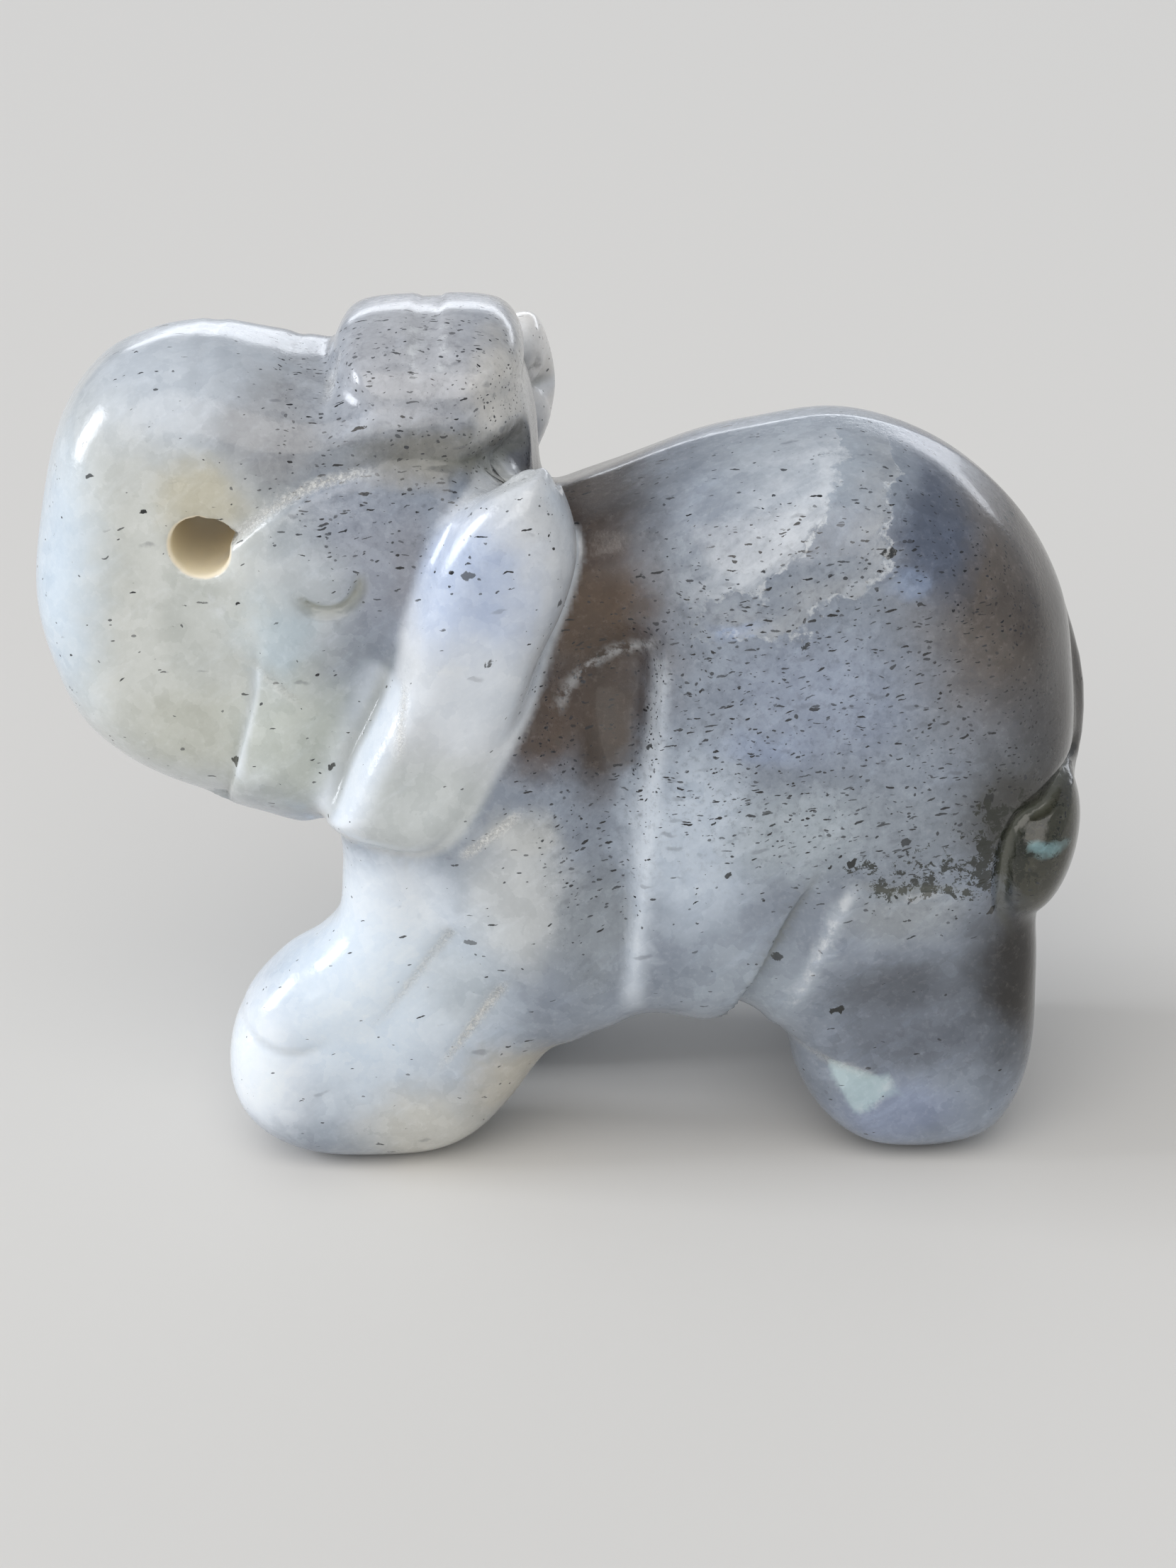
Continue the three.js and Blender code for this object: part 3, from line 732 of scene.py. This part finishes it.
def needles(tree, vector, size, turn, share, edge):
    """Flat grains `size` (x, y, z) millimetres apart, turned by some degrees; `share` is how many of the
    places are taken and `edge` how soft the grains' outlines are."""
    turn = math.radians(turn)
    turned = node(tree, "Mapping", {"Vector": vector, "Rotation": (0, turn, turn)})[0]
    placed = node(tree, "VectorMath", {"operation": "MULTIPLY", 0: turned, 1: [1 / s for s in size]})[0]
    cells = node(tree, "TexVoronoi", {"Vector": placed, "Scale": 1.0})
    present, small, dark = node(tree, "SeparateColor", {"Color": cells["Color"]})
    present = node(tree, "Math", {"operation": "LESS_THAN", 0: present, 1: share})[0]
    small = node(tree, "Math", {"operation": "POWER", 0: small, 1: 1.6})[0]
    radius = node(tree, "MapRange", {"Value": small, "To Min": 0.09, "To Max": 0.4})["Result"]
    inside = node(tree, "Math", {"operation": "SUBTRACT", 0: radius, 1: cells["Distance"]})[0]
    inside = node(tree, "MapRange", {"interpolation_type": "SMOOTHSTEP", "Value": inside,
                                     "From Max": edge})["Result"]
    inside = node(tree, "Math", {"operation": "MULTIPLY", 0: inside, 1: present})[0]
    darkness = node(tree, "MapRange", {"Value": dark, "From Max": 0.8, "To Min": 0.65})["Result"]
    return node(tree, "Math", {"operation": "MULTIPLY", 0: inside, 1: darkness})[0]


wavy = warp(tree, warp(tree, in_mm, 0.5, 0.5), 4.5, 0.06)
rough_grain = warp(tree, warp(tree, in_mm, 1.5, 0.3), 4.5, 0.12)
dot_share = node(tree, "Math", {"operation": "MULTIPLY", 0: thick, 1: 0.7})[0]
deep_share = node(tree, "Math", {"operation": "MULTIPLY", 0: thick, 1: 0.8})[0]
on_haunch = spot(tree, ragged, (12, 0, 14.5), (9, THROUGH, 4.5))
coarse_share = node(tree, "Math", {"operation": "MULTIPLY_ADD", 0: on_haunch, 1: 0.32, 2: 0.025})[0]
fine = needles(tree, wavy, (0.75, 0.14, 0.14), 11, thick, 0.06)
dots = needles(tree, wavy, (0.28, 0.16, 0.16), 5, dot_share, 0.08)
deep = needles(tree, wavy, (1.3, 0.38, 0.38), 4, deep_share, 0.2)
coarse = needles(tree, rough_grain, (0.9, 0.5, 0.5), 12, coarse_share, 0.05)

# a mossy band of dark grains round the tuft and over the haunch
round_tuft = spot(tree, ragged, (16.2, -5, 14.6), (4.0, 7, 4.8), 0.4)
over_haunch = spot(tree, ragged, (13.6, -7, 13), (5.4, 7, 2), 0.4)
over_haunch = node(tree, "Math", {"operation": "MULTIPLY", 0: over_haunch, 1: 0.9})[0]
mossy = node(tree, "Math", {"operation": "MAXIMUM", 0: round_tuft, 1: over_haunch})[0]
moss = node(tree, "TexNoise", {"Vector": rough_grain, "Scale": 1.7, "Detail": 5, "Roughness": 0.75})["Fac"]
moss = node(tree, "Math", {"operation": "MULTIPLY_ADD", 0: mossy, 1: 0.24, 2: moss})[0]

# the drilled hole is painted nearly white and left matt, as painted light for the glow through its walls;
# the cut lines have rough white bottoms, whose speckle is drawn coarser than the real one, which is too
# fine to show
across_hole = node(tree, "Mapping", {"Vector": in_mm, "Location": (-HOLE_AT[0], 0, -HOLE_AT[1]),
                                     "Scale": (1, 0, 1)})[0]
from_hole = node(tree, "VectorMath", {"operation": "LENGTH", 0: across_hole})["Value"]
speckle = node(tree, "TexNoise", {"Vector": in_mm, "Scale": 7.0, "Detail": 3, "Roughness": 0.7})["Fac"]
gaps = node(tree, "TexNoise", {"Vector": in_mm, "Scale": 1.4, "Detail": 5, "Roughness": 0.7})["Fac"]

# each mask comes in between two values of the pattern that it is made from
masks = {}
for name, pattern, start, full in (
        ("bright clouds", clouds, 0.45, 0.72), ("dark clouds", clouds, 0.5, 0.28),
        ("crystals", crystals, 0.0, 1.0), ("streaks", streaks, 0.5, 0.72),
        ("bright flecks", flecks, 0.5, 0.75), ("matt flecks", flecks, 0.4, 0.75),
        ("smut", flecks, 0.5, 0.32), ("moss", moss, 0.72, 0.75),
        ("hole", from_hole, HOLE_RADIUS + 0.1, HOLE_RADIUS - 0.01),
        ("speckle", speckle, 0.35, 0.6), ("broken", gaps, 0.42, 0.6)):
    masks[name] = node(tree, "MapRange", {"interpolation_type": "SMOOTHSTEP", "Value": pattern,
                                             "From Min": start, "From Max": full})["Result"]
smut = node(tree, "Math", {"operation": "MULTIPLY", 0: masks["smut"], 1: thick})[0]
frosted = node(tree, "Math", {"operation": "MULTIPLY_ADD", 0: masks["speckle"], 1: 0.65, 2: 0.35})[0]
frosted = node(tree, "Math", {"operation": "MULTIPLY", 0: frosted, 1: marks["frost"]})[0]
broken = node(tree, "Math", {"operation": "MULTIPLY", 0: long_crack, 1: 0.6})[0]
broken = node(tree, "Math", {"operation": "MAXIMUM", 0: broken, 1: marks["crack"]})[0]
broken = node(tree, "Math", {"operation": "MULTIPLY", 0: broken, 1: masks["broken"]})[0]

# everything that lies over the zones, first to last
colour = lay(tree, colour, [
    (marks["ear"], 1.0, ear_colour, "MIX"),
    # painted light along the glowing edges and facets
    (marks["thin"], 0.75, "#dfe8f2", "MIX"),
    (masks["bright clouds"], 0.22, "#f4f6f8", "SOFT_LIGHT"),
    (masks["dark clouds"], 0.22, "#3a3a3c", "SOFT_LIGHT"),
    (masks["crystals"], 0.22, "#ffffff", "SOFT_LIGHT"),
    (masks["streaks"], 0.25, "#eef3fb", "SOFT_LIGHT"),
    (masks["bright flecks"], 0.2, "#eef3fb", "SOFT_LIGHT"),
    (masks["bright flecks"], 0.05, "#eee8e0", "MIX"),
    (smut, 0.4, "#50545c", "DARKEN"),
    (deep, 0.35, "#4f525c", "DARKEN"),
    (dots, 0.9, "#2a2d33", "DARKEN"),
    (fine, 1.0, "#17191d", "MIX"),
    (coarse, 1.0, "#151919", "MIX"),
    (masks["moss"], 0.9, "#1a1e12", "MIX"),
    # painted light: the glow inside the drilled hole
    (masks["hole"], 1.0, "#fff2d8", "MIX"),
    # painted shade in the bottoms of the cut lines
    (marks["crease_shade"], 0.5, "#85877a", "MIX"),
    (frosted, 1.0, "#f0f1ef", "MIX"),
    (broken, 1.0, "#dfe3e6", "MIX"),
    (marks["eye"], 0.6, "#c9cab8", "MIX"),
    # painted shadow along the lower edge of the eye's crescent
    (marks["lid"], 0.4, "#62635a", "MIX"),
])

# the hand polish, and how much rougher the stone is under each mask
POLISH = 0.16
roughness = POLISH
for mask, rougher in ((frosted, 0.44), (masks["matt flecks"], 0.1), (marks["satin"], 0.35),
                      (masks["hole"], 0.5)):
    roughness = node(tree, "Math", {"operation": "MULTIPLY_ADD", 0: mask, 1: rougher, 2: roughness})[0]

# small dimples, pitted line bottoms and open cracks, with their heights in millimetres
dimples = node(tree, "TexNoise", {"Vector": in_mm, "Scale": 5.0, "Detail": 4, "Roughness": 0.6})["Fac"]
pitted = node(tree, "Math", {"operation": "MULTIPLY", 0: speckle, 1: frosted})[0]
relief = 0.0
for mask, height in ((dimples, 0.012), (pitted, 0.12), (broken, -0.02)):
    relief = node(tree, "Math", {"operation": "MULTIPLY_ADD", 0: mask, 1: height, 2: relief})[0]
uneven = node(tree, "Bump", {"Strength": 1.0, "Distance": MM, "Height": relief})["Normal"]

# light enters the pale stone and not the dark grains
opaque = masks["moss"]
for grains in (fine, dots, coarse):
    opaque = node(tree, "Math", {"operation": "MAXIMUM", 0: opaque, 1: grains})[0]
depth_of_light = node(tree, "MapRange", {"interpolation_type": "SMOOTHSTEP", "Value": opaque,
                                         "To Min": 0.35, "To Max": 0.0})["Result"]
gloss = node(tree, "MapRange", {"interpolation_type": "SMOOTHSTEP", "Value": masks["hole"],
                                "To Min": 0.25, "To Max": 0.0})["Result"]
FELDSPAR_IOR = 1.56
shader = node(tree, "BsdfPrincipled", {
    "Base Color": colour, "Roughness": roughness, "Normal": uneven, "IOR": FELDSPAR_IOR,
    "Coat Weight": gloss, "Coat Roughness": 0.08, "Subsurface Weight": depth_of_light,
    "Subsurface Radius": (1.0, 1.0, 1.0), "Subsurface Scale": 1.1 * MM})["BSDF"]
node(tree, "OutputMaterial", {"Surface": shader})

stone_mesh.materials.append(stone)
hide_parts("stone_elephant")
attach(carving, "root")
